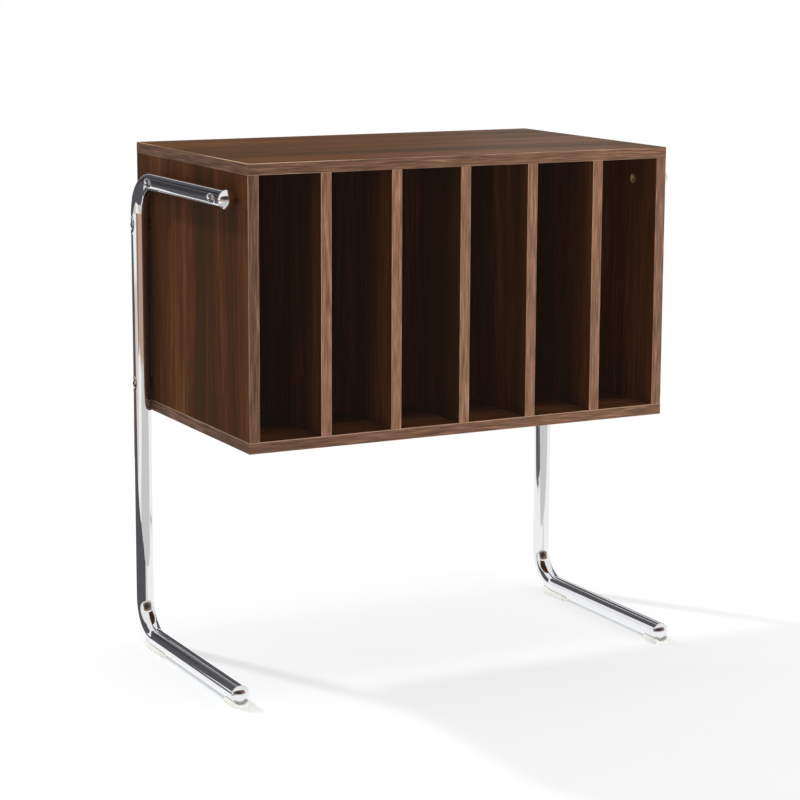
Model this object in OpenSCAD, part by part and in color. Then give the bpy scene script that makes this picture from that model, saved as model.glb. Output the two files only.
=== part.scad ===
// Record storage stand: a six-bay laminated cabinet carried between two bent tube frames.
// Millimetres. X runs across the cabinet, the open front faces -Y, and the floor is Z = 0.

/* [Cabinet] */
// Width over the side panels
cabinet_width = 630; // [540:1:800]
// Depth from the front edges to the rear edges
cabinet_depth = 385; // [370:1:450]
// Height from the underside to the top face
cabinet_height = 375; // [360:1:450]
// Thickness of the boards
board_t = 15; // [14:0.5:20]
// Thickness of the edge bands glued round the boards
band_t = 1; // [0.6:0.1:2]
// Radius scraped along the outer corners of an edge band
band_round = 0.6; // [0.2:0.1:0.6]
// Hairline joint between two bands at a corner
band_joint = 0.05; // [0.02:0.01:0.1]
// Height of the underside of the cabinet above the floor
floor_clearance = 337; // [250:1:450]

/* [Back panel] */
// Thickness of the back panel
back_t = 3; // [2.5:0.5:5]
// Distance from the rear edges forward to the back panel
back_inset = 12; // [8:1:20]
// Depth of the grooves that hold the back panel
groove_depth = 6; // [4:0.5:8]
// Gap round the back panel in its grooves
groove_gap = 0.2; // [0.1:0.05:0.3]

/* [Tube frames] */
// Outer diameter of the tube
tube_d = 25; // [22:0.5:30]
// Wall of the tube
tube_wall = 1.5; // [1.2:0.1:2]
// Radius of the bends at the middle of the tube
bend_radius = 50; // [40:1:60]
// Distance from the top face of the cabinet down to the middle of the arm
arm_drop = 48; // [45:1:60]
// Distance from the front edges back to the end of the arm tube
arm_end = 37; // [20:1:50]
// Distance from the front edges back to the end of the runner tube
runner_end = 8; // [8:1:40]
// Distance from the rear edges forward to the middle of the post
post_inset = 42; // [30:1:50]
// Depth of the dimple pressed round each bolt
dimple_depth = 2.2; // [1:0.1:2.6]
// Length of the dimple along the tube
dimple_length = 24; // [20:1:26]

/* [End caps] */
// Step of a cap outside the tube
cap_lip = 0.2; // [0.1:0.1:0.6]
// Length of the straight rim of a cap
cap_rim = 2; // [1:0.5:4]
// Height of the dome of a cap in front of its rim
cap_dome = 6; // [3:0.5:9]
// Length of the spigot inside the tube
spigot_length = 9; // [6:1:16]
// Wall of the spigot
spigot_wall = 2; // [1.2:0.1:3]
// Gap between the spigot and the bore of the tube
spigot_gap = 0.15; // [0.1:0.05:0.3]

/* [Glides] */
// Height of the tube above the floor
glide_base = 3.5; // [2.5:0.5:6]
// Height by which a glide wraps up round the tube
glide_wrap = 4.5; // [3:0.5:6]
// Width of a glide across the tube
glide_width = 22; // [20:0.5:24]
// Distance from the peg of a front glide back to its rear end
toe_tail = 14; // [8:1:24]
// Length of a rear glide
heel_length = 60; // [50:1:70]
// Distance from the start of the bend back to the rear end of the rear glide
heel_reach = 24; // [16:1:30]
// Distance from the front end of a rear glide back to its peg
heel_peg = 18; // [12:1:26]
// Radius of the corners of a glide in plan
glide_corner = 4; // [2:0.5:6]
// Diameter of the peg that holds a glide in the tube
peg_d = 7; // [5:0.5:9]
// Height of the peg above the inside of the tube
peg_height = 4; // [2:0.5:6]
// Distance between the peg of a front glide and the spigot of the cap
peg_clear = 1.5; // [0.5:0.5:4]
// Gap between a glide and the tube, and round its peg
glide_gap = 0.15; // [0.1:0.05:0.3]

/* [Frame bolts] */
// Diameter of the bolt shank
bolt_d = 6; // [5:0.5:8]
// Diameter of the button head
head_d = 10.5; // [9.5:0.5:12]
// Height of the button head
head_h = 3.3; // [2.5:0.1:4]
// Width of the hexagon socket across its flats
socket_flats = 4; // [3:0.5:5]
// Depth of the hexagon socket
socket_depth = 2; // [1.5:0.1:2.4]
// Bevel round the tip of the bolt
bolt_tip = 0.8; // [0.4:0.1:1.2]
// Distance from the spigot of the arm cap back to the dimple of the front bolt
spigot_clear = 2; // [1:0.5:40]
// Distance from each end of the upper bend to the bolt beside it
bend_to_bolt = 13; // [13:1:60]
// Height of the lower post bolt above the underside of the cabinet
post_bolt_low = 40; // [30:1:60]
// Width of the flat seat left round the button head
seat_margin = 0.5; // [0.3:0.1:1]
// Gap all round a bolt in its holes
bolt_gap = 0.3; // [0.2:0.05:0.5]
// Distance from the tip of a bolt to the inner face of the side panel
bolt_end_gap = 3; // [1:0.5:5]
// Outer diameter of the threaded insert through the side panel
insert_d = 10; // [9:0.5:11]
// Distance from the outer face of the side panel to the end of the insert
insert_setback = 1; // [0.5:0.5:2]
// Diameter of the flange of the insert in the inner face
flange_d = 13; // [12:0.5:15]
// Thickness of the flange of the insert
flange_t = 1.5; // [1:0.5:2.5]
// Bevel at the mouth of the insert
insert_bevel = 1; // [0.5:0.1:1.2]
// Gap round the insert and in its thread
insert_gap = 0.1; // [0.05:0.05:0.2]
// Diameter of the saddle washer between tube and panel
saddle_d = 16; // [14:0.5:18]
// Thickness of the saddle washer where the tube touches it
saddle_t = 1; // [0.6:0.1:2]
// Gap between the saddle washer and the tube
saddle_gap = 0.1; // [0.05:0.05:0.2]

/* [Cabinet fixings] */
// Depth of the dowels in the top panel
top_bite = 11; // [8:0.5:11]
// Diameter of the wooden dowels
dowel_d = 8; // [6:0.5:9]
// Length of the wooden dowels
dowel_length = 30; // [24:1:34]
// Bevel round both ends of the wooden dowels
dowel_bevel = 1; // [0.5:0.1:1.5]
// Diameter of the shank of the bottom screws
screw_d = 5; // [4:0.5:6]
// Diameter of the countersunk head of the bottom screws
screw_head_d = 9; // [8:0.5:10]
// Length of the bottom screws
screw_length = 50; // [40:1:60]
// Width of the hexagon socket of the bottom screws across its flats
screw_socket = 3; // [2.5:0.5:3.5]
// Gap round dowels and screws in their holes
fixing_gap = 0.1; // [0.05:0.05:0.2]
// Distance from the front edges back to the front row of fixings
row_inset = 37; // [30:1:45]
// Distance from the post forward to the rear row of fixings
post_to_row = 20; // [14:1:30]

/* [Hidden] */

$fn = 64;
eps = 0.01;
divider_count = 5;

laminate = "#4a2c1c";
edge_band = "#8a6350";
chrome = "#c9ccd0";

// cabinet
front_y = -cabinet_depth / 2;
rear_y = cabinet_depth / 2;
base_z = floor_clearance;
top_z = base_z + cabinet_height;
upright_z = base_z + board_t;
joint_z = top_z - board_t;
upright_h = joint_z - upright_z;
side_x = cabinet_width / 2;
core_width = cabinet_width - 2 * band_t;
core_depth = cabinet_depth - 2 * band_t;
back_y = rear_y - back_inset - back_t;
groove_w = back_t + 2 * groove_gap;
divider_depth = back_y - groove_gap - front_y - band_t;
divider_pitch = (cabinet_width - board_t) / (divider_count + 1);
function divider_x(i) = -side_x + board_t / 2 + i * divider_pitch;

// frames, in their own plane: y forward to back, z up
tube_r = tube_d / 2;
bore_r = tube_r - tube_wall;
plane_x = side_x + saddle_t + tube_r;
arm_z = top_z - arm_drop;
runner_z = glide_base + tube_r;
post_y = rear_y - post_inset;
bend_y = post_y - bend_radius;
arm_end_y = front_y + arm_end;
runner_end_y = front_y + runner_end;
dimple_r = (pow(dimple_length / 2, 2) + pow(dimple_depth, 2)) / (2 * dimple_depth);
seat_x = plane_x + tube_r - dimple_depth;
seat_d = head_d + 2 * seat_margin;
bolt_places = [
    [arm_end_y + spigot_length + spigot_clear + dimple_length / 2, arm_z],
    [bend_y - bend_to_bolt, arm_z],
    [post_y, arm_z - bend_radius - bend_to_bolt],
    [post_y, base_z + post_bolt_low]
];

// end caps
cap_r = tube_r + cap_lip;
dome_r = (pow(cap_r, 2) + pow(cap_dome, 2)) / (2 * cap_dome);

// glides
toe_start_y = runner_end_y - cap_rim - cap_dome;
toe_peg_y = runner_end_y + spigot_length + peg_clear + peg_d / 2;
toe_end_y = toe_peg_y + toe_tail;
heel_end_y = bend_y + heel_reach;
heel_start_y = heel_end_y - heel_length;
heel_peg_y = heel_start_y + heel_peg;
glide_top = glide_base + glide_wrap;
heel_top = runner_z + bend_radius + glide_wrap
    - sqrt(pow(bend_radius + tube_r, 2) - pow(heel_reach, 2));

// rows of fixings between the boards
rows = [front_y + row_inset, post_y - post_to_row];
upright_xs = [for (i = [0 : divider_count + 1]) divider_x(i)];
dowel_z = joint_z + top_bite - dowel_length;

// The same piece on the other side.
module left() {
    mirror([1, 0, 0]) children();
}

// Turns a drawing made with x forward to back and y up so that it stands in a frame's plane.
module stand_up() {
    rotate([90, 0, 90]) children();
}

// A cylinder along X from x = 0.
module along_x(d, length) {
    rotate([0, 90, 0]) cylinder(d = d, h = length);
}

// A cuboid given by its lowest corner and its highest corner.
module span(low, high) {
    translate(low) cube(high - low);
}

// ---- boards ----

// Countersunk hole from below for one bottom screw.
module screw_hole(x, y) {
    translate([x, y, base_z - eps]) cylinder(d = screw_d + 2 * fixing_gap, h = board_t + 2 * eps);
    translate([x, y, base_z - eps]) screw_head_cone(screw_head_d + 2 * fixing_gap);
}

module screw_head_cone(d) {
    cylinder(d1 = d, d2 = screw_d + 2 * fixing_gap, h = (d - screw_d) / 2);
}

// Groove along the back panel's edge, cut into a board from low to high.
module back_groove(low_x, high_x, low_z, high_z) {
    span([low_x, back_y - groove_gap, low_z], [high_x, back_y - groove_gap + groove_w, high_z]);
}

module board_blank(low_z) {
    span([-core_width / 2, front_y + band_t, low_z], [core_width / 2, rear_y - band_t, low_z + board_t]);
}

module top_panel() {
    color(laminate) difference() {
        board_blank(joint_z);
        back_groove(-side_x + board_t - groove_depth, side_x - board_t + groove_depth,
            joint_z - eps, joint_z + groove_depth);
        for (x = upright_xs, y = rows)
            translate([x, y, joint_z - eps])
                cylinder(d = dowel_d + 2 * fixing_gap, h = top_bite + fixing_gap);
    }
}

module bottom_panel() {
    color(laminate) difference() {
        board_blank(base_z);
        back_groove(-side_x + board_t - groove_depth, side_x - board_t + groove_depth,
            upright_z - groove_depth, upright_z + eps);
        for (x = upright_xs, y = rows) screw_hole(x, y);
    }
}

// Pilot hole for a bottom screw in the lower edge of an upright.
module pilot_hole(x, y) {
    translate([x, y, upright_z - eps])
        cylinder(d = screw_d + 2 * fixing_gap, h = screw_length - board_t + 1);
}

// Hole for a dowel in the upper edge of an upright.
module dowel_hole(x, y) {
    translate([x, y, dowel_z - fixing_gap])
        cylinder(d = dowel_d + 2 * fixing_gap, h = joint_z - dowel_z + fixing_gap + eps);
}

// Side panel on the +X side.
module side_panel() {
    inner_x = side_x - board_t;
    middle_x = side_x - board_t / 2;
    color(laminate) difference() {
        span([inner_x, front_y + band_t, upright_z], [side_x, rear_y - band_t, joint_z]);
        back_groove(inner_x - eps, inner_x + groove_depth, upright_z - eps, joint_z + eps);
        for (y = rows) {
            pilot_hole(middle_x, y);
            dowel_hole(middle_x, y);
        }
        for (place = bolt_places) translate([inner_x - eps, place[0], place[1]]) {
            along_x(insert_d + 2 * insert_gap, board_t + 2 * eps);
            along_x(flange_d + 2 * insert_gap, flange_t + eps);
        }
    }
}

module divider(i) {
    x = divider_x(i);
    color(laminate) difference() {
        span([x - board_t / 2, front_y + band_t, upright_z],
            [x + board_t / 2, front_y + band_t + divider_depth, joint_z]);
        for (y = rows) {
            pilot_hole(x, y);
            dowel_hole(x, y);
        }
    }
}

module back_panel() {
    reach = groove_depth - groove_gap;
    color("#3a241a") span(
        [-side_x + board_t - reach, back_y, upright_z - reach],
        [side_x - board_t + reach, back_y + back_t, joint_z + reach]);
}

// ---- edge bands ----

// What is scraped off a square corner at the origin.
module corner_scrape() {
    difference() {
        translate([-eps, -eps]) square(band_round + eps);
        translate([band_round, band_round]) circle(r = band_round);
    }
}

// Band of a given length along X, standing on z = 0, its scraped face at y = 0 toward -Y.
module band(length) {
    rotate([90, 0, 90]) linear_extrude(length) difference() {
        square([band_t, board_t]);
        corner_scrape();
        translate([0, board_t]) mirror([0, 1]) corner_scrape();
    }
}

// Bands round all four edges of a lying board.
module lying_bands(low_z) {
    color(edge_band) for (s = [0, 1]) rotate([0, 0, 180 * s]) {
        translate([-side_x, front_y, low_z]) band(cabinet_width);
        translate([-side_x, rear_y - band_t - band_joint, low_z])
            rotate([0, 0, -90]) band(core_depth - 2 * band_joint);
    }
}

module top_edge_bands() {
    lying_bands(joint_z);
}

module bottom_edge_bands() {
    lying_bands(base_z);
}

// Upright band on the front edge of the board whose middle is at x.
module upright_band(x) {
    translate([x + board_t / 2, front_y, upright_z]) rotate([0, -90, 0]) band(upright_h);
}

module side_edge_bands() {
    color(edge_band) for (s = [0, 1], i = [0, divider_count + 1])
        rotate([0, 0, 180 * s]) upright_band(divider_x(i));
}

module divider_edge_bands() {
    color(edge_band) for (i = [1 : divider_count]) upright_band(divider_x(i));
}

// ---- tube frames, drawn on the +X side ----

// The run of the tube at radius r: arm, upper bend, post, lower bend and runner.
// Past is how far it runs on beyond both open ends.
module tube_run(r, past = 0) {
    stand_up() {
        translate([arm_end_y - past, arm_z, 0]) along_x(2 * r, bend_y - arm_end_y + past);
        translate([bend_y, arm_z - bend_radius, 0])
            rotate_extrude(angle = 90) translate([bend_radius, 0]) circle(r = r);
        translate([post_y, runner_z + bend_radius, 0])
            rotate([-90, 0, 0]) cylinder(r = r, h = arm_z - runner_z - 2 * bend_radius);
        translate([bend_y, runner_z + bend_radius, 0]) rotate([0, 0, -90])
            rotate_extrude(angle = 90) translate([bend_radius, 0]) circle(r = r);
        translate([runner_end_y - past, runner_z, 0]) along_x(2 * r, bend_y - runner_end_y + past);
    }
}

// Balls that press the dimple at each bolt, or with grow = wall the inside of the dimple.
module dimple_balls(grow) {
    for (place = bolt_places)
        translate([tube_r - dimple_depth + dimple_r, place[0], place[1]])
            sphere(r = dimple_r + grow, $fn = 96);
}

module frame_tube() {
    color(chrome) translate([plane_x, 0, 0]) difference() {
        tube_run(tube_r);
        difference() {
            tube_run(bore_r, 1);
            dimple_balls(tube_wall);
        }
        dimple_balls(0);
        for (place = bolt_places) {
            translate([-tube_d, place[0], place[1]]) along_x(bolt_d + 2 * bolt_gap, 2 * tube_d);
            translate([seat_x - plane_x, place[0], place[1]]) along_x(seat_d, tube_r);
        }
        for (y = [toe_peg_y, heel_peg_y])
            translate([0, y, 0]) cylinder(d = peg_d + 2 * glide_gap, h = runner_z);
    }
}

// Domed plug, its rim standing on z = 0 with the spigot below.
module end_cap() {
    color(chrome) {
        cylinder(r = cap_r, h = cap_rim);
        intersection() {
            translate([0, 0, cap_rim + cap_dome - dome_r]) sphere(r = dome_r);
            translate([0, 0, cap_rim]) cylinder(r = cap_r, h = cap_dome + eps);
        }
        translate([0, 0, -spigot_length]) difference() {
            cylinder(r = bore_r - spigot_gap, h = spigot_length);
            translate([0, 0, -eps])
                cylinder(r = bore_r - spigot_gap - spigot_wall, h = spigot_length);
        }
    }
}

module arm_cap() {
    translate([plane_x, arm_end_y, arm_z]) rotate([90, 0, 0]) end_cap();
}

module runner_cap() {
    translate([plane_x, runner_end_y, runner_z]) rotate([90, 0, 0]) end_cap();
}

// Rectangle with round corners, its length along x from 0.
module round_rectangle(length, width, r) {
    translate([r, -width / 2]) square([length - 2 * r, width]);
    translate([0, r - width / 2]) square([length, width - 2 * r]);
    for (x = [r, length - r], y = [r - width / 2, width / 2 - r]) translate([x, y]) circle(r = r);
}

// Saddle glide under the runner between two places, with its rear end as high as rear_h.
module glide(start_y, end_y, rear_h, peg_y) {
    color("#e8e4d8") translate([plane_x, 0, 0]) {
        difference() {
            intersection() {
                translate([0, start_y, 0]) rotate([0, 0, 90]) linear_extrude(rear_h)
                    round_rectangle(end_y - start_y, glide_width, glide_corner);
                stand_up() translate([0, 0, -glide_width]) linear_extrude(2 * glide_width)
                    polygon([[start_y, 0], [end_y, 0], [end_y, rear_h],
                        [min(bend_y, end_y), glide_top], [start_y, glide_top]]);
            }
            tube_run(tube_r + glide_gap, cap_rim + cap_dome);
            translate([0, runner_end_y + glide_gap, runner_z]) rotate([90, 0, 0])
                cylinder(r = cap_r + glide_gap, h = 2 * (cap_rim + cap_dome));
        }
        translate([0, peg_y, glide_base / 2])
            cylinder(d = peg_d, h = glide_base / 2 + tube_wall + peg_height);
    }
}

module front_glide() {
    glide(toe_start_y, toe_end_y, glide_top, toe_peg_y);
}

module rear_glide() {
    glide(heel_start_y, heel_end_y, heel_top, heel_peg_y);
}

// ---- fasteners ----

// Repeats a fastener drawn at the outer face of the +X side panel at every bolt place.
module at_bolts() {
    for (s = [0, 1], place = bolt_places)
        mirror([s, 0, 0]) translate([0, place[0], place[1]]) children();
}

// Button head bolt, the underside of its head on z = 0 and its shank below.
module button_bolt(shank) {
    ball_r = (pow(head_d / 2, 2) + pow(head_h, 2)) / (2 * head_h);
    difference() {
        intersection() {
            translate([0, 0, head_h - ball_r]) sphere(r = ball_r);
            cylinder(d = head_d, h = head_h + 1);
        }
        translate([0, 0, head_h - socket_depth])
            cylinder(d = socket_flats / cos(30), h = head_h, $fn = 6);
    }
    translate([0, 0, bolt_tip - shank]) cylinder(d = bolt_d, h = shank - bolt_tip);
    translate([0, 0, -shank]) cylinder(d1 = bolt_d - 2 * bolt_tip, d2 = bolt_d, h = bolt_tip);
}

// Bolts on the dimpled seats of the tubes, reaching into the threaded inserts.
module frame_bolts() {
    color("#b9bcc0") at_bolts() translate([seat_x, 0, 0]) rotate([0, 90, 0])
        button_bolt(seat_x - side_x + board_t - bolt_end_gap);
}

// Inserts pressed into the side panels from inside, each with its flange flush in the face.
module threaded_inserts() {
    bore_d = bolt_d + 2 * insert_gap;
    color("#c2a25a") at_bolts() translate([side_x - board_t, 0, 0]) rotate([0, 90, 0])
        difference() {
            union() {
                cylinder(d = flange_d, h = flange_t);
                cylinder(d = insert_d, h = board_t - insert_setback);
            }
            translate([0, 0, -eps]) cylinder(d = bore_d, h = board_t);
            translate([0, 0, -eps])
                cylinder(d1 = bore_d + 2 * (insert_bevel + eps), d2 = bore_d, h = insert_bevel + eps);
        }
}

module saddle_washers() {
    edge_rise = tube_r - sqrt(pow(tube_r, 2) - pow(saddle_d / 2, 2));
    for (s = [0, 1]) color("#b9bcc0") mirror([s, 0, 0]) difference() {
        for (place = bolt_places) translate([side_x, place[0], place[1]])
            along_x(saddle_d, saddle_t + edge_rise);
        translate([plane_x, 0, 0]) tube_run(tube_r + saddle_gap);
        for (place = bolt_places) translate([side_x - eps, place[0], place[1]])
            along_x(bolt_d + 2 * bolt_gap, 2 * tube_r);
    }
}

// Dowel standing from the upper edge of an upright into the top panel.
module dowel() {
    tip_d = dowel_d - 2 * dowel_bevel;
    translate([0, 0, dowel_z]) {
        cylinder(d1 = tip_d, d2 = dowel_d, h = dowel_bevel);
        translate([0, 0, dowel_bevel]) cylinder(d = dowel_d, h = dowel_length - 2 * dowel_bevel);
        translate([0, 0, dowel_length - dowel_bevel])
            cylinder(d1 = dowel_d, d2 = tip_d, h = dowel_bevel);
    }
}

module wood_dowels() {
    color("#c9a574") for (x = upright_xs, y = rows) translate([x, y, 0]) dowel();
}

// Countersunk screws up through the bottom panel into every upright.
module bottom_screws() {
    color("#5a5a5c") for (x = upright_xs, y = rows) translate([x, y, base_z]) difference() {
        union() {
            cylinder(d1 = screw_head_d, d2 = screw_d, h = (screw_head_d - screw_d) / 2);
            cylinder(d = screw_d, h = screw_length);
        }
        translate([0, 0, -eps]) cylinder(d = screw_socket / cos(30), h = socket_depth, $fn = 6);
    }
}

top_panel();
bottom_panel();
left() side_panel();  // left_side_panel
side_panel();  // right_side_panel
divider(1);  // divider_1
divider(2);  // divider_2
divider(3);  // divider_3
divider(4);  // divider_4
divider(5);  // divider_5
back_panel();
top_edge_bands();
bottom_edge_bands();
side_edge_bands();
divider_edge_bands();
left() frame_tube();  // left_frame_tube
frame_tube();  // right_frame_tube
left() arm_cap();  // left_arm_cap
arm_cap();  // right_arm_cap
left() runner_cap();  // left_runner_cap
runner_cap();  // right_runner_cap
left() front_glide();  // left_front_glide
front_glide();  // right_front_glide
left() rear_glide();  // left_rear_glide
rear_glide();  // right_rear_glide
frame_bolts();
threaded_inserts();
saddle_washers();
wood_dowels();
bottom_screws();
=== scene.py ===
import bpy
import numpy as np
from mathutils import Matrix, Vector


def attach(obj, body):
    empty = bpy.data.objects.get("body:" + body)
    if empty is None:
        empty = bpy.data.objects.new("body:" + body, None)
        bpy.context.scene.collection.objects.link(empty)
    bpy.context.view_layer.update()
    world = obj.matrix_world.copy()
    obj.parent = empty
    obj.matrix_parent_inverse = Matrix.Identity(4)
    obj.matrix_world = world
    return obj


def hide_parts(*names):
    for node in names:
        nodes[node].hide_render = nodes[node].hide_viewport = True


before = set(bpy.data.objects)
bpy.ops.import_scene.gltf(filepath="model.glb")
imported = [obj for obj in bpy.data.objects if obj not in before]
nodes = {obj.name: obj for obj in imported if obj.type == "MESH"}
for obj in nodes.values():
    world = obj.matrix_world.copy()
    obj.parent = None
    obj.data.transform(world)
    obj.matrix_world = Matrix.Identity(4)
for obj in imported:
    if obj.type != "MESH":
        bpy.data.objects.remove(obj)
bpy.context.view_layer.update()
scene = bpy.context.scene


# ---- Cabinet boards ----
# Particle board faced on both sides with a satin melamine film in dark walnut grain, sawn square.
# The grain runs along the top and the bottom board and up the sides and the dividers.

# Dark, middle, red and light tone of the print. The top board's tones are paler and greyer: they
# paint in the sheen and the brighter light on its upper face.
WALNUT = ("#33210b", "#45240e", "#563117", "#684429")
TOP_WALNUT_WITH_PAINTED_SHEEN = ("#35291a", "#4b3019", "#5d3a1d", "#76502f")
# Bars, streaks and fine lines to a metre across the grain, and its sway in metres.
WALNUT_LINES = (16.0, 220.0, 700.0, 0.03)
# The film is satin. A faint even glow painted on it stands in for the stray light in the
# dark bays.
WALNUT_GLOSS = 0.03
WALNUT_PAINTED_STRAY_LIGHT = 0.003


def paint(code):
    """The linear colour of a six-digit sRGB code: each channel c becomes
    ((c + 0.055) / 1.055) ** 2.4, or c / 12.92 where it is very dark."""
    c = np.array([int(code[i:i + 2], 16) for i in (1, 3, 5)]) / 255
    linear = np.where(c > 0.04045, ((c + 0.055) / 1.055) ** 2.4, c / 12.92)
    return (*linear.tolist(), 1.0)


def add(tree, kind, values=None, **settings):
    """One node of a tree. Values fill or link its inputs by name or number, and settings set the
    node itself."""
    made = tree.nodes.new("ShaderNode" + kind)
    for name, value in settings.items():
        setattr(made, name, value)
    for name, value in (values or {}).items():
        socket = made.inputs[name]
        if isinstance(value, bpy.types.NodeSocket):
            tree.links.new(value, socket)
        else:
            socket.default_value = value
    return made


def ramp(tree, factor, stops):
    """A colour ramp through (place, linear colour) stops, read at the factor."""
    made = add(tree, "ValToRGB", {"Fac": factor})
    points = made.color_ramp.elements
    while len(points) < len(stops):
        points.new(0.5)
    for point, (place, colour) in zip(points, stops):
        point.position, point.color = place, colour
    return made.outputs["Color"]


def sum_of(tree, *terms):
    """The sum of value times weight over the terms given as (socket, weight)."""
    total = None
    for socket, weight in terms:
        total = add(tree, "Math", {0: socket, 1: weight, 2: 0.0 if total is None else total},
                    operation="MULTIPLY_ADD").outputs[0]
    return total


def new_group(name, inputs, outputs):
    """An empty node group with its sockets, and its input and output nodes."""
    group = bpy.data.node_groups.new(name, "ShaderNodeTree")
    for label, kind in inputs:
        group.interface.new_socket(label, in_out="INPUT", socket_type=kind)
    for label, kind in outputs:
        group.interface.new_socket(label, in_out="OUTPUT", socket_type=kind)
    given = group.nodes.new("NodeGroupInput").outputs
    result = group.nodes.new("NodeGroupOutput").inputs
    return group, given, result


def straight_grain():
    """Walnut grain that runs along the local Z: noise squeezed along Z and pushed sideways by slow
    noise times Sway. Broad bars, streaks and fine lines are added up, and their sum is read
    through four wood colours."""
    group, given, result = new_group(
        "straight_grain",
        [("Place", "NodeSocketVector"), ("Bar", "NodeSocketFloat"), ("Streak", "NodeSocketFloat"),
         ("Fine", "NodeSocketFloat"), ("Sway", "NodeSocketFloat"), ("Dark", "NodeSocketColor"),
         ("Middle", "NodeSocketColor"), ("Red", "NodeSocketColor"), ("Light", "NodeSocketColor")],
        [("Color", "NodeSocketColor"), ("Height", "NodeSocketFloat"),
         ("Roughness", "NodeSocketFloat")])
    slow = add(group, "Mapping", {"Vector": given["Place"], "Scale": (1, 1, 0.35)})
    sway = add(group, "TexNoise", {"Vector": slow.outputs[0], "Scale": 7.0, "Detail": 2.0})
    centred = add(group, "VectorMath", {0: sway.outputs["Color"], 1: (0.5, 0.5, 0.5)},
                  operation="SUBTRACT")
    sideways = add(group, "VectorMath", {0: centred.outputs[0], 1: (1.0, 1.0, 0.0)},
                   operation="MULTIPLY")
    pushed = add(group, "VectorMath", {0: sideways.outputs[0], "Scale": given["Sway"]},
                 operation="SCALE")
    bent = add(group, "VectorMath", {0: given["Place"], 1: pushed.outputs[0]}, operation="ADD")

    def lines(squeeze, scale, detail, roughness):
        drawn = add(group, "Mapping", {"Vector": bent.outputs[0], "Scale": (1, 1, squeeze)})
        return add(group, "TexNoise", {"Vector": drawn.outputs[0], "Scale": scale, "Detail": detail,
                                       "Roughness": roughness}).outputs["Fac"]

    bar = lines(0.05, given["Bar"], 2.0, 0.5)
    streak = lines(0.03, given["Streak"], 5.0, 0.7)
    fine = lines(0.02, given["Fine"], 3.0, 0.6)
    tone = sum_of(group, (bar, 0.9), (streak, 0.85), (fine, 0.5))
    spread = add(group, "MapRange", {"Value": tone, "From Min": 0.885,
                                     "From Max": 1.445}).outputs[0]
    steps = ramp(group, spread, [(at, (grey, grey, grey, 1)) for at, grey in (
        (0.12, 0.0), (0.4, 0.33), (0.68, 0.66), (0.95, 1.0))])
    shown = given["Dark"]
    for paler, start in (("Middle", 0.0), ("Red", 0.33), ("Light", 0.66)):
        share = add(group, "MapRange", {"Value": steps, "From Min": start,
                                        "From Max": start + 0.34})
        shown = add(group, "Mix", {"Factor": share.outputs[0], 6: shown, 7: given[paler]},
                    data_type="RGBA").outputs[2]
    group.links.new(shown, result["Color"])
    group.links.new(sum_of(group, (streak, 0.4), (fine, 0.6)), result["Height"])
    rough = add(group, "MapRange", {"Value": spread, "To Min": 0.5, "To Max": 0.4})
    group.links.new(rough.outputs[0], result["Roughness"])
    return group


grain = straight_grain()


def new_material(name):
    """An empty material, its node tree and its Principled shader."""
    made = bpy.data.materials.new(name)
    made.use_nodes = True
    return made, made.node_tree, made.node_tree.nodes["Principled BSDF"]


def grain_place(tree, along, shift):
    """Object coordinates turned so that the grain's own Z runs along the axis, and moved by the
    shift to a fresh place in the noise."""
    at = add(tree, "SeparateXYZ", {0: add(tree, "TexCoord").outputs["Object"]}).outputs
    order = {"x": ("Y", "Z", "X"), "y": ("Z", "X", "Y"), "z": ("X", "Y", "Z")}[along]
    turned = add(tree, "CombineXYZ", {i: at[axis] for i, axis in enumerate(order)})
    return add(tree, "VectorMath", {0: turned.outputs[0], 1: shift}, operation="ADD").outputs[0]


def draw_grain(tree, lines, tones):
    """The grain group placed in a material, with its line counts, its sway and its four tones."""
    drawn = add(tree, "Group", {}, node_tree=grain)
    for socket, value in zip(("Bar", "Streak", "Fine", "Sway"), lines):
        drawn.inputs[socket].default_value = value
    for socket, tone in zip(("Dark", "Middle", "Red", "Light"), tones):
        drawn.inputs[socket].default_value = paint(tone)
    return drawn


def cover(tree, shader, colour, roughness, height, strength, depth=0.0002):
    """Links a colour, a roughness and a relief of the given depth in metres to a shader."""
    relief = add(tree, "Bump", {"Strength": strength, "Distance": depth, "Height": height})
    tree.links.new(colour, shader.inputs["Base Color"])
    tree.links.new(roughness, shader.inputs["Roughness"])
    tree.links.new(relief.outputs[0], shader.inputs["Normal"])


def walnut(name, along, shift, tones=WALNUT):
    """Satin melamine with printed walnut: grain colour, a faint pressed relief along the lines, a
    soft gloss and a faint even glow of painted stray light."""
    made, tree, shader = new_material(name)
    drawn = draw_grain(tree, WALNUT_LINES, tones)
    tree.links.new(grain_place(tree, along, shift), drawn.inputs["Place"])
    cover(tree, shader, drawn.outputs["Color"], drawn.outputs["Roughness"], drawn.outputs["Height"],
          strength=0.25)
    shader.inputs["Specular IOR Level"].default_value = WALNUT_GLOSS
    shader.inputs["Emission Color"].default_value = (1.0, 1.0, 1.0, 1.0)
    # Painted stray light: a faint even white glow on the wood.
    shader.inputs["Emission Strength"].default_value = WALNUT_PAINTED_STRAY_LIGHT
    return made


def dress(node, material):
    """Puts one material on a solid that is shown as it is."""
    piece = nodes[node]
    if not piece.material_slots:
        piece.data.materials.append(material)
    for slot in piece.material_slots:
        slot.material = material


# Each board takes its grain from a fresh place in the noise.
boards = [("top_panel", "x"), ("bottom_panel", "x"), ("left_side_panel", "z"),
          ("right_side_panel", "z")] + [(f"divider_{number}", "z") for number in range(1, 6)]
for count, (board, along) in enumerate(boards):
    # The top board's paler, greyer tones paint in the sheen and brighter light on its upper face.
    tones = TOP_WALNUT_WITH_PAINTED_SHEEN if board == "top_panel" else WALNUT
    shift = (0.37 * count, 0.65 * count + 0.73, 1.3 * count)
    dress(board, walnut("walnut_" + board, along, shift, tones))


# ---- Edge bands ----
# Strips 1 mm thick in a paler walnut print, glued round the boards and scraped at their corners.
# The scraped corners show the pale body of the strip, and a painted highlight lies along them,
# so each edge reads as a thin light line.

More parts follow.
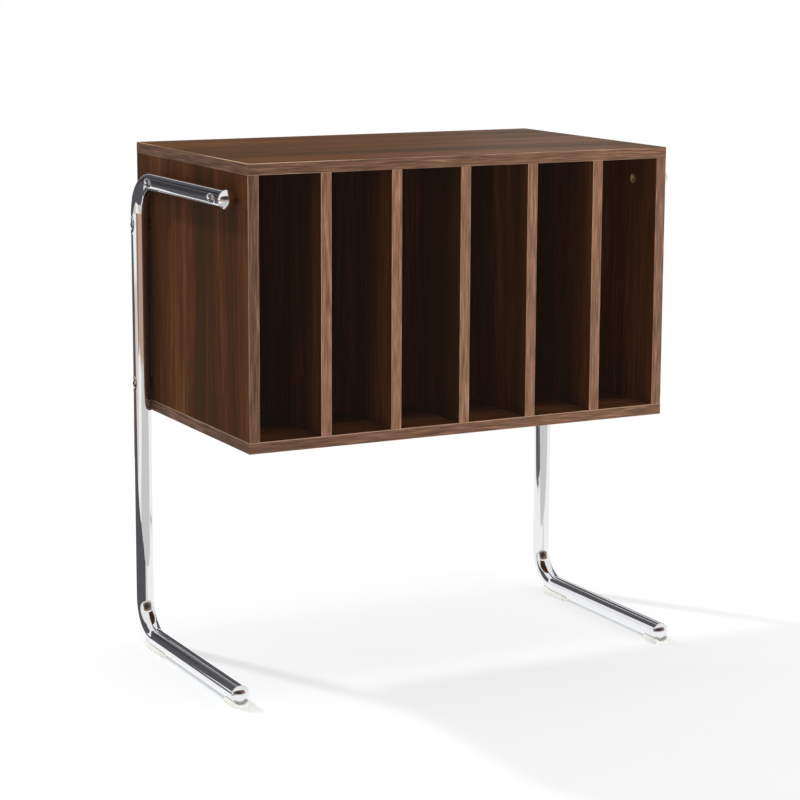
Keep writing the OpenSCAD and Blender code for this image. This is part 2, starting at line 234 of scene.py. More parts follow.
OUTER_BAND = ("#4f382b", "#664937", "#775643", "#927059")
DIVIDER_BAND = ("#644635", "#7f5c47", "#906852", "#ac866c")
BAND_LINES = (500.0, 900.0, 1800.0, 0.004)
# Pale body of a scraped corner, with a painted highlight.
BAND_CORNER_AND_HIGHLIGHT = "#b3957b"
# The strips on the ends of the boards lie between BAND_END_X and the cabinet's half width. The
# plainest line, pale body and painted highlight, runs along the upper edges of the top board and
# the bottom board, where the light from above catches them.
BAND_END_X = 0.3139
CABINET_HALF_X = 0.315
TOP_EDGE_Z = 0.712
BOTTOM_EDGE_Z = 0.352
LINE_HALF = 0.0008


def banding(name, along, shift, tones=OUTER_BAND, fade=(0.84, 1.32), edge_z=0.0, wear=0.15):
    """Printed strip: the grain group drawn finer. The corner colour, the strip's pale body with a
    painted highlight, shows where the face's normal lies between two axes, that is where its
    largest part is below one, and within LINE_HALF of the height edge_z. Slow noise leaves this
    line whole in some places and thins it to the share wear in others. The print is multiplied by a
    factor that goes from fade's first number at the cabinet's left end to its second at the right.
    The grain of a lying strip runs along X, and past BAND_END_X, on the ends of its board, along Y."""
    made, tree, shader = new_material(name)
    drawn = draw_grain(tree, BAND_LINES, tones)
    place = add(tree, "TexCoord").outputs["Object"]
    at = add(tree, "SeparateXYZ", {0: place}).outputs
    if along == "lying":
        apart = add(tree, "Math", {0: at["X"]}, operation="ABSOLUTE")
        at_end = add(tree, "Math", {0: apart.outputs[0], 1: BAND_END_X}, operation="GREATER_THAN")
        chosen = add(tree, "Mix", {"Factor": at_end.outputs[0], 4: grain_place(tree, "x", shift),
                                   5: grain_place(tree, "y", shift)}, data_type="VECTOR")
        tree.links.new(chosen.outputs[1], drawn.inputs["Place"])
    else:
        tree.links.new(grain_place(tree, along, shift), drawn.inputs["Place"])
    facing = add(tree, "VectorMath", {0: add(tree, "NewGeometry").outputs["True Normal"]},
                 operation="ABSOLUTE")
    part = add(tree, "SeparateXYZ", {0: facing.outputs[0]}).outputs
    largest = add(tree, "Math", {0: part["X"], 1: part["Y"]}, operation="MAXIMUM")
    largest = add(tree, "Math", {0: largest.outputs[0], 1: part["Z"]}, operation="MAXIMUM")
    slope = add(tree, "MapRange", {"Value": largest.outputs[0], "From Min": 0.998,
                                   "From Max": 0.97})
    beside = add(tree, "Math", {0: at["Z"], 1: edge_z, 2: LINE_HALF}, operation="COMPARE")
    corner = add(tree, "Math", {0: slope.outputs[0], 1: beside.outputs[0]}, operation="MAXIMUM")
    patchy = add(tree, "TexNoise", {"Vector": place, "Scale": 4.0, "Detail": 3.0})
    kept = add(tree, "MapRange", {"Value": patchy.outputs["Fac"], "From Min": 0.42,
                                  "From Max": 0.6, "To Min": wear})
    scraped_line_and_highlight = add(tree, "Math", {0: corner.outputs[0], 1: kept.outputs[0]}, operation="MULTIPLY")
    level = add(tree, "MapRange", {"Value": at["X"], "From Min": -CABINET_HALF_X,
                                   "From Max": CABINET_HALF_X, "To Min": fade[0],
                                   "To Max": fade[1]})
    faded = add(tree, "VectorMath", {0: drawn.outputs["Color"], "Scale": level.outputs[0]},
                operation="SCALE")
    # Corner line: the strip's pale body with a painted highlight, patchy with the noise.
    shown = add(tree, "Mix", {"Factor": scraped_line_and_highlight.outputs[0], 6: faded.outputs[0],
                              7: paint(BAND_CORNER_AND_HIGHLIGHT)}, data_type="RGBA")
    cover(tree, shader, shown.outputs[2], drawn.outputs["Roughness"], drawn.outputs["Height"],
          strength=0.3)
    shader.inputs["Specular IOR Level"].default_value = 0.2
    return made


dress("top_edge_bands", banding("band_top", "lying", (0.2, 0.7, 0.1), edge_z=TOP_EDGE_Z))
dress("bottom_edge_bands", banding("band_bottom", "lying", (1.4, 0.3, 0.9), edge_z=BOTTOM_EDGE_Z,
                                   wear=0.8))
dress("side_edge_bands", banding("band_sides", "z", (0.5, 2.1, 0.4)))
dress("divider_edge_bands", banding("band_dividers", "z", (2.5, 1.1, 1.7), DIVIDER_BAND,
                                    fade=(1.0, 1.0)))


# ---- Back panel ----
# Hardboard 3 mm thick with a darker, plainer film on it, slid into grooves round the four outer
# boards before the last of them is screwed on.

BACK_WALNUT = ("#33241a", "#3c291c", "#44301f", "#4e3826")
dress("back_panel", walnut("walnut_back", "z", (5.2, 4.4, 2.0), BACK_WALNUT))


# ---- Bent tube frames ----
# Steel tube 25 mm across with a 1.5 mm wall, drawn, bent twice at a 50 mm radius, pressed in at
# each bolt and chromed bright. Arm, post and runner are one length; the frames mirror each other.

# The tubes and all that is fixed to them are worked out in millimetres and put in meshes in metres.
MM = 0.001
TUBE_R = 12.5
BORE_R = 11.0
PLANE_X = 328.5
ARM_Z = 664.0
RUNNER_Z = 16.0
POST_Y = 150.5
BEND_R = 50.0
BEND_Y = POST_Y - BEND_R
ARM_END_Y = -155.5
RUNNER_END_Y = -184.5
BOLT_PLACES = np.array([[-132.5, 664.0], [87.5, 664.0], [150.5, 601.0], [150.5, 377.0]])
# A dimple is pressed by a ball, and DIMPLE_SOFT blends it into the tube. Past DIMPLE_REACH the ball
# counts as FAR_OUT. The bolt's seat is flat, and the skin may climb from its edge by SEAT_SLOPE.
DIMPLE_DEPTH = 2.2
DIMPLE_HALF = 12.0
DIMPLE_R = (DIMPLE_HALF ** 2 + DIMPLE_DEPTH ** 2) / (2 * DIMPLE_DEPTH)
DIMPLE_REACH = 24.0
DIMPLE_SOFT = 0.25
FAR_OUT = 99.0
SEAT_R = 5.75
SEAT_SLOPE = 4
# How finely the tube is cut: along each straight, round each bend and beside each bolt.
ARM_CUTS, POST_CUTS, BEND_CUTS = 30, 40, 60
FINE_REACH = 18
FINE_STEP = 0.6
CHROME_TINTS = ("#e6e7e9", "#dfe0e2")


def put_in_mesh(name, parts, crease=35):
    """One object of several closed grids. A grid is rows of points that close round in each row.
    The rows themselves either close in a loop or end in two poles, which are single points at the
    first and the last row. A grid whose volume comes out negative has its faces turned round."""
    points, faces, start = [], [], 0
    for grid, loop in parts:
        rows, columns = grid.shape[:2]
        index = start + np.arange(rows * columns).reshape(rows, columns)
        if not loop:
            index[0], index[-1] = index[0, 0], index[-1, 0]
        low = index if loop else index[:-1]
        high = np.roll(index, -1, 0) if loop else index[1:]
        quads = np.stack([low, np.roll(low, -1, 1), np.roll(high, -1, 1), high], -1)
        quads = quads.reshape(-1, 4)
        flat = grid.reshape(-1, 3)
        a, b, c, d = (flat[quads[:, i] - start] for i in range(4))
        volume = (np.cross(a, b) * c).sum() + (np.cross(a, c) * d).sum()
        faces.append(quads if volume > 0 else quads[:, ::-1])
        points.append(flat)
        start += len(flat)
    points, faces = np.concatenate(points), np.concatenate(faces)
    mesh = bpy.data.meshes.new(name)
    kept = [list(dict.fromkeys(face)) for face in faces.tolist()]
    used, order = np.unique(np.concatenate([np.array(face) for face in kept]), return_inverse=True)
    sizes = np.cumsum([len(face) for face in kept])[:-1]
    mesh.from_pydata((points[used] * MM).tolist(), [], [f.tolist() for f in np.split(order, sizes)])
    mesh.polygons.foreach_set("use_smooth", np.ones(len(mesh.polygons), bool))
    mesh.set_sharp_from_angle(angle=np.radians(crease))
    mesh.update()
    piece = bpy.data.objects.new(name, mesh)
    scene.collection.objects.link(piece)
    return piece


def tube_line(step):
    """Places along the middle of the tube from the arm's end to the runner's end, as (y, z) and
    the unit normal in the frame's plane. Each straight is a line, cut finely within FINE_REACH of
    a bolt, and each bend is a quarter circle of BEND_R."""
    near = np.arange(-FINE_REACH, FINE_REACH + 0.01, FINE_STEP * step)
    arm = np.concatenate([np.linspace(ARM_END_Y, BEND_Y, ARM_CUTS),
                          *(BOLT_PLACES[:2, 0, None] + near)])
    arm = np.unique(np.clip(arm, ARM_END_Y, BEND_Y).round(3))
    post = np.concatenate([np.linspace(ARM_Z - BEND_R, RUNNER_Z + BEND_R, POST_CUTS),
                           *(BOLT_PLACES[2:, 1, None] + near)])
    post = np.unique(np.clip(post, RUNNER_Z + BEND_R, ARM_Z - BEND_R).round(3))[::-1]
    turn = np.linspace(0, np.pi / 2, int(BEND_CUTS / step) + 1)[1:-1]
    upper = np.stack([BEND_Y + BEND_R * np.sin(turn), ARM_Z - BEND_R + BEND_R * np.cos(turn),
                      np.sin(turn), np.cos(turn)], 1)
    lower = np.stack([BEND_Y + BEND_R * np.cos(turn), RUNNER_Z + BEND_R - BEND_R * np.sin(turn),
                      np.cos(turn), -np.sin(turn)], 1)
    runner = np.linspace(BEND_Y, RUNNER_END_Y, ARM_CUTS)
    one, none = np.ones_like, np.zeros_like
    return np.concatenate([
        np.stack([arm, ARM_Z * one(arm), none(arm), one(arm)], 1), upper,
        np.stack([POST_Y * one(post), post, one(post), none(post)], 1), lower,
        np.stack([runner, RUNNER_Z * one(runner), none(runner), -one(runner)], 1)])


def tube_skin(line, radius, ball_r, side, columns=144):
    """Skin of the tube: middle + radius (cos a outward + sin a normal). In a dimple the outward
    part becomes the softened minimum of itself and of the ball's surface,
    centre - sqrt(ball_r^2 - p^2), and the outer skin is cut flat for the seat of the bolt."""
    a = np.linspace(0, 2 * np.pi, columns, endpoint=False)
    out = radius * np.cos(a)[None, :] * np.ones((len(line), 1))
    y = line[:, 0, None] + radius * np.sin(a) * line[:, 2, None]
    z = line[:, 1, None] + radius * np.sin(a) * line[:, 3, None]
    centre = TUBE_R - DIMPLE_DEPTH + DIMPLE_R
    for place in BOLT_PLACES:
        apart2 = (y - place[0]) ** 2 + (z - place[1]) ** 2
        ball = centre - np.sqrt(np.maximum(ball_r ** 2 - apart2, 0))
        ball = np.where(apart2 < DIMPLE_REACH ** 2, ball, FAR_OUT)
        lower = np.minimum(out, ball)
        out = lower - DIMPLE_SOFT * np.log(np.exp((lower - out) / DIMPLE_SOFT)
                                           + np.exp((lower - ball) / DIMPLE_SOFT))
        if radius == TUBE_R:
            beyond = np.maximum(np.sqrt(apart2) - SEAT_R, 0)
            out = np.minimum(out, TUBE_R - DIMPLE_DEPTH + SEAT_SLOPE * beyond)
    return np.stack([side * (PLANE_X + out), y, z], -1)


def chrome(name):
    """Bright chrome plate: a clean mirror with the faintest long waves of drawn tube and a little
    haze, both from slow noise."""
    made, tree, shader = new_material(name)
    at = add(tree, "TexCoord").outputs["Object"]
    haze = add(tree, "TexNoise", {"Vector": at, "Scale": 40.0, "Detail": 3.0}).outputs["Fac"]
    rough = add(tree, "MapRange", {"Value": haze, "To Min": 0.02, "To Max": 0.07})
    waves = add(tree, "TexNoise", {"Vector": at, "Scale": 60.0, "Detail": 1.0}).outputs["Fac"]
    tint = add(tree, "Mix", {"Factor": haze, 6: paint(CHROME_TINTS[0]),
                             7: paint(CHROME_TINTS[1])}, data_type="RGBA")
    cover(tree, shader, tint.outputs[2], rough.outputs[0], waves, strength=0.03, depth=0.0005)
    shader.inputs["Metallic"].default_value = 1.0
    return made


frame_chrome = chrome("frame_chrome")
for side, hand in ((-1, "left"), (1, "right")):
    outer = tube_skin(tube_line(1.0), TUBE_R, DIMPLE_R, side)
    inner = tube_skin(tube_line(4.0), BORE_R, DIMPLE_R + TUBE_R - BORE_R, side)
    tube = put_in_mesh(hand + "_bent_tube", [(np.concatenate([outer, inner[::-1]]), True)])
    tube.data.materials.append(frame_chrome)
    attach(tube, "root")
    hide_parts(hand + "_frame_tube")


# ---- End caps ----
# Turned steel plugs, chromed with the tubes: a short rim a little wider than the tube, a polished
# dome in front of it, and a hollow spigot that is driven into the bore.

CAP_R = 12.7
CAP_RIM = 2.0
CAP_DOME = 6.0
CAP_ROUND = 0.4
SPIGOT_LENGTH = 9.0
SPIGOT_R = 10.85
SPIGOT_BORE = 8.85
SPIGOT_BEVEL = 0.3


def turned(profile, place, axis, columns=96):
    """A turned piece: each (radius, height) of the profile swept round the axis from a place, with
    the height measured along the axis. Points are place + height axis
    + radius (cos a u + sin a v)."""
    axis = np.array(axis, float)
    u = np.array([0.0, 0.0, 1.0]) if abs(axis[2]) < 0.5 else np.array([1.0, 0.0, 0.0])
    v = np.cross(axis, u)
    a = np.linspace(0, 2 * np.pi, columns, endpoint=False)[None, :, None]
    radius, height = np.array(profile, float).T[:, :, None, None]
    return np.array(place, float) + height * axis + radius * (np.cos(a) * u + np.sin(a) * v)


def cap_profile():
    """Closed profile of a cap: the dome is the arc through the rim's edge and the tip, and the rim
    is rounded by quarter circles."""
    dome_r = (CAP_R ** 2 + CAP_DOME ** 2) / (2 * CAP_DOME)
    edge = CAP_R - CAP_ROUND
    turn = np.linspace(0, np.arcsin(edge / dome_r), 24)
    dome = np.stack([dome_r * np.sin(turn), CAP_RIM + CAP_DOME - dome_r * (1 - np.cos(turn))], 1)
    quarter = np.linspace(0, np.pi / 2, 6)
    drop = dome[-1, 1] - CAP_ROUND
    front = np.stack([edge + CAP_ROUND * np.sin(quarter), drop + CAP_ROUND * np.cos(quarter)], 1)
    rear = np.stack([edge + CAP_ROUND * np.cos(quarter), CAP_ROUND * (1 - np.sin(quarter))], 1)
    inside = [(SPIGOT_R, 0), (SPIGOT_R, SPIGOT_BEVEL - SPIGOT_LENGTH),
              (SPIGOT_R - SPIGOT_BEVEL, -SPIGOT_LENGTH), (SPIGOT_BORE, -SPIGOT_LENGTH),
              (SPIGOT_BORE, 0), (0, 0)]
    return np.concatenate([dome, front[1:], rear, inside])


for side, hand in ((-1, "left"), (1, "right")):
    for place, end_y, z in (("arm", ARM_END_Y, ARM_Z), ("runner", RUNNER_END_Y, RUNNER_Z)):
        cap = put_in_mesh(f"{hand}_{place}_dome", [
            (turned(cap_profile(), (side * PLANE_X, end_y, z), (0, -1, 0)), False)])
        cap.data.materials.append(frame_chrome)
        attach(cap, "root")
        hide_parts(f"{hand}_{place}_cap")


# ---- Frame bolts ----
# M6 button head bolts, turned and zinc plated, with a 4 mm hexagon socket and a bevelled tip. Each
# sits on the flat of a dimple and goes through the tube into an insert in the side board.

HEAD_R = 5.25
HEAD_H = 3.3
HEAD_RIM = 0.3
HEAD_BEVEL = 0.15
SOCKET_HALF = 2.0
SOCKET_DEPTH = 2.0
SOCKET_POINT = 0.7
SOCKET_MOUTH = 0.25
SHANK_R = 3.0
SHANK_END = -35.8
TIP_BEVEL = 0.8
SEAT_X = PLANE_X + TUBE_R - DIMPLE_DEPTH
STEEL_TINTS = ("#a9a6a3", "#8b8885")


def button_bolt(place, side, columns=96):
    """A bolt along the outward axis, as rings of (radius, height). Its socket rings are a hexagon,
    half width / cos(angle from the flat's middle), and the rings between socket and rim blend
    from that hexagon into the dome's circle."""
    a = np.linspace(0, 2 * np.pi, columns, endpoint=False)
    hexagon = SOCKET_HALF / np.cos((a + np.pi / 6) % (np.pi / 3) - np.pi / 6)
    ball_r = (HEAD_R ** 2 + HEAD_H ** 2) / (2 * HEAD_H)

    def dome(radius):
        return HEAD_H - ball_r + np.sqrt(ball_r ** 2 - np.minimum(radius, HEAD_R) ** 2)

    floor_h = HEAD_H - SOCKET_DEPTH
    rings = [(0, floor_h - SOCKET_POINT), (hexagon, floor_h),
             (hexagon, dome(hexagon) - SOCKET_MOUTH)]
    for blend in np.linspace(0, 1, 14):
        radius = (1 - blend) * (hexagon + SOCKET_MOUTH) + blend * (HEAD_R - SOCKET_MOUTH)
        rings.append((radius, dome(radius)))
    rings += [(HEAD_R, HEAD_RIM), (HEAD_R - HEAD_BEVEL, 0), (SHANK_R, 0),
              (SHANK_R, SHANK_END + TIP_BEVEL), (SHANK_R - TIP_BEVEL, SHANK_END), (0, SHANK_END)]
    radius, height = (np.stack([value + 0 * a for value in part]) for part in zip(*rings))
    return np.stack([side * (SEAT_X + height), place[0] + radius * np.cos(a),
                     place[1] + radius * np.sin(a)], -1)


bolt_steel, tree, shader = new_material("bolt_steel")
worn = add(tree, "TexNoise", {"Vector": add(tree, "TexCoord").outputs["Object"], "Scale": 900.0,
                              "Detail": 4.0})
rough = add(tree, "MapRange", {"Value": worn.outputs["Fac"], "To Min": 0.1, "To Max": 0.28})
tint = add(tree, "Mix", {"Factor": worn.outputs["Fac"], 6: paint(STEEL_TINTS[0]),
                         7: paint(STEEL_TINTS[1])}, data_type="RGBA")
tree.links.new(tint.outputs[2], shader.inputs["Base Color"])
tree.links.new(rough.outputs[0], shader.inputs["Roughness"])
shader.inputs["Metallic"].default_value = 1.0

bolts = put_in_mesh("button_bolts", [(button_bolt(place, side), False)
                                     for side in (-1, 1) for place in BOLT_PLACES], crease=30)
bolts.data.materials.append(bolt_steel)
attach(bolts, "root")
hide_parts("frame_bolts")


# ---- Threaded inserts, saddle washers, dowels and screws ----
# The inserts are turned brass, pressed in from inside the cabinet. Washers of the bolts' steel,
# hollowed like a saddle, seat the round tube on the flat board. Beech dowels and blackened screws
# hold the uprights between top and bottom.

def speckled(name, tints, scale, rough, metallic=0.0, stretch=(1, 1, 1), strength=0.15):
    """A plain stock material: two close tones, two roughnesses and a faint relief that all follow
    the same noise."""
    made, tree, shader = new_material(name)
    drawn = add(tree, "Mapping", {"Vector": add(tree, "TexCoord").outputs["Object"],
                                  "Scale": stretch})
    noise = add(tree, "TexNoise", {"Vector": drawn.outputs[0], "Scale": scale,
                                   "Detail": 4.0}).outputs["Fac"]
    tint = add(tree, "Mix", {"Factor": noise, 6: paint(tints[0]), 7: paint(tints[1])},
               data_type="RGBA")
    gloss = add(tree, "MapRange", {"Value": noise, "To Min": rough[0], "To Max": rough[1]})
    cover(tree, shader, tint.outputs[2], gloss.outputs[0], noise, strength)
    shader.inputs["Metallic"].default_value = metallic
    return made


dress("threaded_inserts", speckled("turned_brass", ("#c79c5c", "#e6c486"), 700.0, (0.4, 0.6), 0.6))
dress("saddle_washers", bolt_steel)
dress("wood_dowels", speckled("beech", ("#b08a5c", "#cdaa7c"), 300.0, (0.5, 0.7),
                              stretch=(1, 1, 0.08)))
dress("bottom_screws", speckled("black_steel", ("#2c2c2f", "#4a4a4e"), 600.0, (0.3, 0.5), 1.0))


# ---- Glides ----
# Moulded in milky polyethylene: a saddle under the front end of each runner, and a longer one
# under the rear bend that climbs with it. A peg on each clicks into a hole in the tube.

GLIDE_HALF = 11.0
GLIDE_CORNER = 4.0
GLIDE_TOP = 8.0
GLIDE_EDGE = 1.2
LIP = 0.5
POLE_Z = 1.5
SADDLE_GAP = 0.15
SADDLE_R = TUBE_R + SADDLE_GAP
CAP_SADDLE_R = CAP_R + SADDLE_GAP
CAP_REACH_Y = RUNNER_END_Y + SADDLE_GAP
PEG_R = 3.5
PEG_FOOT = 2.0
PEG_TOP = 9.0
PEG_BEVEL = 0.6
TOE_START_Y = -192.5
TOE_END_Y = -156.5
TOE_PEG_Y = -170.5
HEEL_REACH = 24.0
HEEL_LENGTH = 60.0
HEEL_PEG_IN = 18.0
HEEL_RISE = 4.5
HEEL_END_Y = BEND_Y + HEEL_REACH
HEEL_START_Y = HEEL_END_Y - HEEL_LENGTH
HEEL_PEG_Y = HEEL_START_Y + HEEL_PEG_IN
HEEL_TOP = RUNNER_Z + BEND_R + HEEL_RISE - np.sqrt((BEND_R + TUBE_R) ** 2 - HEEL_REACH ** 2)


def glide_body(side, start_y, end_y, rear_h):
    """A glide as cross-sections along its length. Each section runs across the flat sole, up a
    side whose edges are rounded, over the lip and down the saddle,
    z = tube middle - sqrt(SADDLE_R^2 - x^2). Round the bend the saddle follows the torus under
    the tube. In plan the ends narrow by quarter circles."""
    length = end_y - start_y
    ends = GLIDE_CORNER * (1 - np.cos(np.linspace(0, np.pi / 2, 12)))
    middle = np.linspace(GLIDE_CORNER, length - GLIDE_CORNER, 40)
    s = np.unique(np.concatenate([ends, length - ends, middle]).round(4))
    near = np.minimum(np.minimum(s, length - s), GLIDE_CORNER)
    half = GLIDE_HALF - GLIDE_CORNER + np.sqrt(GLIDE_CORNER ** 2 - (GLIDE_CORNER - near) ** 2)
    y = start_y + s
    climb = np.clip((y - BEND_Y) / (end_y - BEND_Y), 0, 1) if end_y > BEND_Y else 0 * y
    top = GLIDE_TOP + (rear_h - GLIDE_TOP) * climb

    def saddle(x):
        radius = np.where(y < CAP_REACH_Y, CAP_SADDLE_R, SADDLE_R)[:, None]
        drop = np.sqrt(np.maximum(radius ** 2 - x ** 2, 0))
        reach = np.maximum(y - BEND_Y, 0)[:, None]
        straight = RUNNER_Z - drop
        round_bend = RUNNER_Z + BEND_R - np.sqrt((BEND_R + drop) ** 2 - reach ** 2)
        return np.where(reach > 0, round_bend, straight)

    across = np.sin(np.linspace(-np.pi / 2, np.pi / 2, 61))[None, :] * (half[:, None] - LIP)
    rim_z = np.minimum(top[:, None], saddle(half[:, None] - LIP))
    inner = np.minimum(saddle(across), rim_z)
    quarter = np.linspace(0, np.pi / 2, 6)
    flank = half[:, None] - GLIDE_EDGE * (1 - np.cos(quarter))[None, :]
    lip = half[:, None] - LIP * (1 - np.sin(quarter))[None, 1:]
    lip_z = rim_z - LIP * (1 - np.cos(quarter))[None, 1:]
    sole_z = GLIDE_EDGE * (1 - np.sin(quarter))[None, :] + 0 * half[:, None]
    xs = [across, lip, flank, -flank[:, ::-1], -lip[:, ::-1]]
    zs = [inner, lip_z, sole_z, sole_z[:, ::-1], lip_z[:, ::-1]]
    x, z = np.concatenate(xs, 1), np.concatenate(zs, 1)
    section = np.stack([side * PLANE_X + x, y[:, None] + 0 * x, z], -1)
    poles = [0 * section[:1] + (side * PLANE_X, end, POLE_Z) for end in (start_y, end_y)]
    return np.concatenate([poles[0], section, poles[1]])


def peg(side, y):
    """The peg of a glide: a cylinder with a bevelled tip."""
    profile = [(0, PEG_FOOT), (PEG_R, PEG_FOOT), (PEG_R, PEG_TOP - PEG_BEVEL),
               (PEG_R - PEG_BEVEL, PEG_TOP), (0, PEG_TOP)]
    return turned(profile, (side * PLANE_X, y, 0), (0, 0, 1), columns=48)


glide_plastic = speckled("milky_polyethylene", ("#e5e4dc", "#eeeee8"), 120.0, (0.35, 0.5),
                         strength=0.1)
for side, hand in ((-1, "left"), (1, "right")):
    for place, start, end, rear_h, peg_y in (
            ("front", TOE_START_Y, TOE_END_Y, GLIDE_TOP, TOE_PEG_Y),
            ("rear", HEEL_START_Y, HEEL_END_Y, HEEL_TOP, HEEL_PEG_Y)):
        glide = put_in_mesh(f"{hand}_{place}_saddle_glide", [
            (glide_body(side, start, end, rear_h), False), (peg(side, peg_y), False)])
        glide.data.materials.append(glide_plastic)
        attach(glide, "root")
        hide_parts(f"{hand}_{place}_glide")


# ---- Floor and studio ----
# A pale floor without a horizon, and lamps as in a product studio: a small strong one behind on
# the left, a soft one above, and two fills in front, one near on the right and one further away
# on the left. Where the camera and the chrome see them, floor and world are white or nearly so.

FLOOR_HALF = 9.0
FLOOR_PAINT = "#eaebec"


def seen_straight(tree):
    """One for rays of the camera, of a mirror or through glass, and zero for the rest."""
    ray = add(tree, "LightPath").outputs
    found = add(tree, "Math", {0: ray["Is Camera Ray"], 1: ray["Is Glossy Ray"]},
                operation="MAXIMUM")
    return add(tree, "Math", {0: found.outputs[0], 1: ray["Is Transmission Ray"]},
               operation="MAXIMUM").outputs[0]


floor_mesh = bpy.data.meshes.new("floor")
floor_mesh.from_pydata([(x * FLOOR_HALF, y * FLOOR_HALF, 0) for x, y in (
    (-1, -1), (1, -1), (1, 1), (-1, 1))], [], [(0, 1, 2, 3)])
floor = bpy.data.objects.new("floor", floor_mesh)
scene.collection.objects.link(floor)

# The floor turns from shaded paint to plain white with its distance from the stand. Close beside
# the glides and the runners, where little light gets in, it keeps its full shadow.
pale, tree, shader = new_material("pale_floor")
shader.inputs["Base Color"].default_value = paint(FLOOR_PAINT)
shader.inputs["Roughness"].default_value = 0.9
apart = add(tree, "VectorMath", {0: add(tree, "TexCoord").outputs["Object"]}, operation="LENGTH")
white = add(tree, "MapRange", {"Value": apart.outputs["Value"], "From Min": 0.9, "From Max": 2.2,
                               "To Min": 0.6, "To Max": 1.0}, interpolation_type="SMOOTHSTEP")
open_air = add(tree, "AmbientOcclusion", {"Distance": 0.05})
white = add(tree, "Math", {0: white.outputs[0], 1: open_air.outputs["AO"]}, operation="MULTIPLY")
share = add(tree, "Math", {0: seen_straight(tree), 1: white.outputs[0]}, operation="MULTIPLY")
glow = add(tree, "Emission", {"Color": (1, 1, 1, 1), "Strength": 1.0})
blended = add(tree, "MixShader", {0: share.outputs[0], 1: shader.outputs[0], 2: glow.outputs[0]})
tree.links.new(blended.outputs[0], tree.nodes["Material Output"].inputs["Surface"])
floor_mesh.materials.append(pale)

world = bpy.data.worlds.new("studio")
scene.world = world
world.use_nodes = True
tree = world.node_tree
tree.nodes.clear()
strength = add(tree, "MapRange", {"Value": seen_straight(tree), "To Min": 0.55, "To Max": 1.0})
sky = add(tree, "Background", {"Color": (1, 1, 1, 1), "Strength": strength.outputs[0]})
out = tree.nodes.new("ShaderNodeOutputWorld")
tree.links.new(sky.outputs[0], out.inputs["Surface"])


def softbox(name, place, target, size, power):
    """A square area lamp at a place, turned towards a target, that no mirror and no camera sees."""
    lamp = bpy.data.lights.new(name, "AREA")
    lamp.shape, lamp.size, lamp.energy = "SQUARE", size, power
    made = bpy.data.objects.new(name, lamp)
    made.location = place
    made.rotation_euler = (Vector(target) - Vector(place)).to_track_quat("-Z", "Y").to_euler()
    scene.collection.objects.link(made)
    made.visible_camera = made.visible_glossy = False


softbox("rear_left_softbox", (-1.71, 3.22, 3.0), (0, 0, 0.35), size=0.3, power=150)
softbox("overhead_softbox", (0.0, -0.2, 3.2), (0, 0, 0.4), size=1.6, power=33)
softbox("front_right_fill", (1.6, -1.7, 1.1), (0, 0, 0.5), size=1.2, power=12)
softbox("front_left_fill", (-1.3, -4.6, 0.9), (0, 0, 0.5), size=1.0, power=72)


# ---- Cards for the chrome ----
# Cards laid and stood round a bright tube, so that its mirror shows charcoal, grey, warm and white
# stripes. Out of the camera's sight; only reflections meet them.

def card(name, corners, colour, strength=1.0):
    """A flat card of one colour that only glossy rays meet."""
    mesh = bpy.data.meshes.new(name)
    mesh.from_pydata(corners, [], [tuple(range(len(corners)))])
    made = bpy.data.objects.new(name, mesh)
    scene.collection.objects.link(made)
    material, _, shader = new_material(name)
    shader.inputs["Base Color"].default_value = (0, 0, 0, 1)
    shader.inputs["Specular IOR Level"].default_value = 0.0
    shader.inputs["Emission Color"].default_value = paint(colour)
    shader.inputs["Emission Strength"].default_value = strength
    mesh.materials.append(material)
    made.visible_camera = made.visible_diffuse = made.visible_shadow = False
    made.visible_transmission = False


def laid(name, outline, colour, strength=1.0, height=0.002):
    """A card laid on the floor inside an outline of (x, y) corners."""
    card(name, [(x, y, height) for x, y in outline], colour, strength)


def stood(name, y, x_from, x_to, z_from, z_to, colour):
    """An upright card across the view at one y."""
    card(name, [(x_from, y, z_from), (x_to, y, z_from), (x_to, y, z_to), (x_from, y, z_to)],
         colour)


# Charcoal and dark grey behind and on the left give the broad dark stripes of arms and posts.
CHARCOAL = "#5c5a5f"
laid("charcoal_left", [(-0.385, -0.05), (-0.42, -0.3), (-0.64, -0.35), (-0.93, -0.26),
                       (-1.14, -0.02), (-1.4, 0.3), (-3.6, 1.2), (-4.6, 2.6), (-5.6, 9), (-1.6, 9),
                       (-0.95, 2.2), (-0.72, 1.8), (-0.62, 1.45), (-0.45, 0.8), (-0.385, 0.5)],
     CHARCOAL)
stood("charcoal_wall_left", 16.0, -8.9, 1.8, -3.0, 13.4, CHARCOAL)
stood("charcoal_wall_right", 16.0, 2.5, 9.0, -3.0, 13.4, CHARCOAL)
stood("dark_window", 15.9, -7.3, -2.9, -3.0, 4.6, "#413f44")
stood("dark_window_bar", 15.9, -5.4, -2.9, 6.0, 7.2, "#2c2a2e")
laid("grey_in_front", [(-0.4, -0.31), (-0.23, -0.27), (0.08, -0.19), (0.3, -0.33), (1.0, -0.6),
                       (1.4, -1.0), (1.2, -2.4), (-1.2, -2.1), (-1.35, -1.46), (-1.22, -0.78),
                       (-1.11, -0.39), (-0.93, -0.27), (-0.64, -0.36)], "#dcdbd8", height=0.0025)
card("charcoal_far_left", [(-16, 4.3, -3), (-12.6, 16, -3), (-12.6, 16, 13.4), (-16, 4.3, 13.4)],
     CHARCOAL)
card("charcoal_far_right", [(11, 16, -3), (20, 8, -3), (20, 8, 13.4), (11, 16, 13.4)], CHARCOAL)

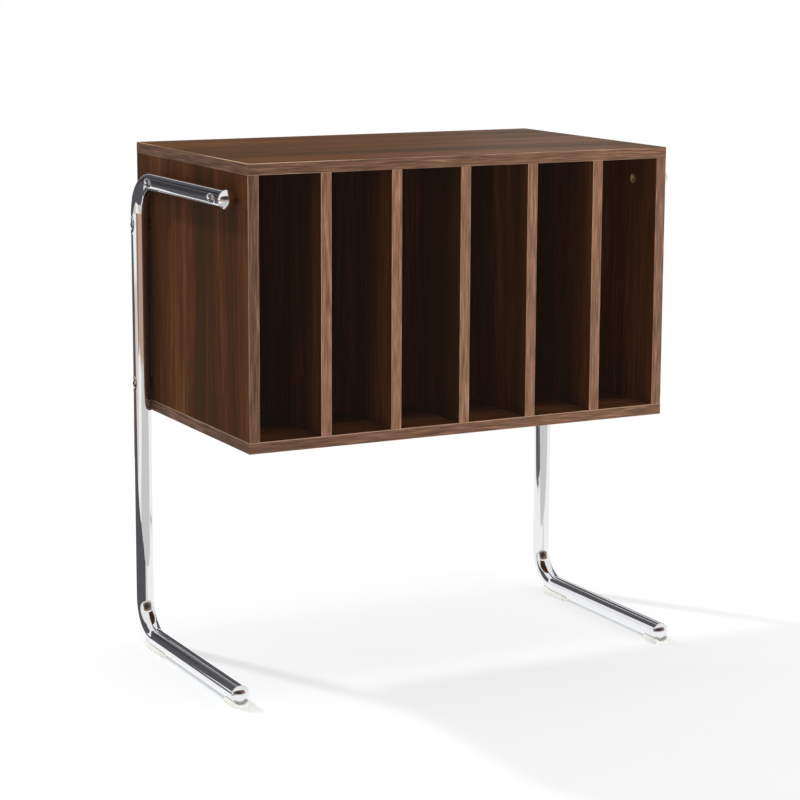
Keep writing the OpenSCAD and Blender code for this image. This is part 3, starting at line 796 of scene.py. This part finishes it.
# Brown, beige and white give the warm flecks of the bends and the bright stripes below.
BRIGHT = 1.1
laid("brown_behind", [(-0.5, 1.4), (0.6, 1.4), (0.6, 2.2), (-0.5, 1.72)], "#5c4c42", height=0.0025)
stood("brown_in_front", -8.1, -13.0, 12.0, 0.0, 6.0, "#8b7365")
card("dark_in_front", [(-9.5, -8.05, 1.6), (1.0, -8.05, 0.4), (5.0, -8.05, 3.0),
                       (-5.0, -8.05, 4.9)], "#3f3c3e")
laid("white_under", [(-0.385, -0.05), (-0.42, -0.3), (-0.23, -0.27), (0.08, -0.19), (1.0, -0.6),
                     (1.6, -0.8), (2.5, 1.5), (-0.4, 1.5), (-0.45, 0.8), (-0.385, 0.5)],
     "#ffffff", BRIGHT, height=0.0015)
laid("white_left", [(-1.14, -0.02), (-1.11, -0.39), (-1.22, -0.78), (-1.35, -1.46), (-2.3, -1.6),
                    (-2.5, -0.9), (-1.5, 0.0)], "#ffffff", BRIGHT, height=0.0015)
laid("beige_left", [(-1.38, 0.28), (-1.5, 0.0), (-2.5, -0.9), (-4.0, -1.1), (-4.2, 0.7),
                    (-3.6, 1.15)], "#f1e0d2")
laid("white_far_left", [(-4.2, 0.7), (-4.0, -1.1), (-6.5, -1.5), (-7.0, 2.0), (-3.6, 1.2)],
     "#ffffff", BRIGHT)
laid("brown_front_left", [(-2.5, -0.95), (-2.3, -1.6), (-4.2, -4.2), (-6.4, -2.4),
                          (-4.0, -1.15)], "#9c816e")
laid("beige_in_front", [(-2.25, -1.65), (-1.35, -1.9), (1.2, -2.45), (4.0, -4.0), (3.5, -8.0),
                        (-6.0, -8.0), (-4.2, -4.25)], "#c8a791")


# ---- Camera ----
# At the photograph's angle, from the front on the left and a little above the top board.

FOCAL_PIXELS = 2384.0
PICTURE = 800.0
YAW, PITCH, ROLL = np.radians([27.42, 10.13, -0.24])
EYE = (-1.527, -2.948, 0.978)
ahead = Vector((np.sin(YAW) * np.cos(PITCH), np.cos(YAW) * np.cos(PITCH), -np.sin(PITCH)))
level = Vector((np.cos(YAW), -np.sin(YAW), 0))
down = ahead.cross(level)
right = np.cos(ROLL) * level + np.sin(ROLL) * down
below = -np.sin(ROLL) * level + np.cos(ROLL) * down
lens = bpy.data.cameras.new("camera")
lens.sensor_width = 36.0
lens.lens = FOCAL_PIXELS / PICTURE * lens.sensor_width
lens.shift_y = -0.03
camera = bpy.data.objects.new("camera", lens)
scene.collection.objects.link(camera)
turn = Matrix((right, -below, -ahead)).transposed().to_4x4()
camera.matrix_world = Matrix.Translation(EYE) @ turn
scene.camera = camera

scene.view_settings.view_transform = "Standard"
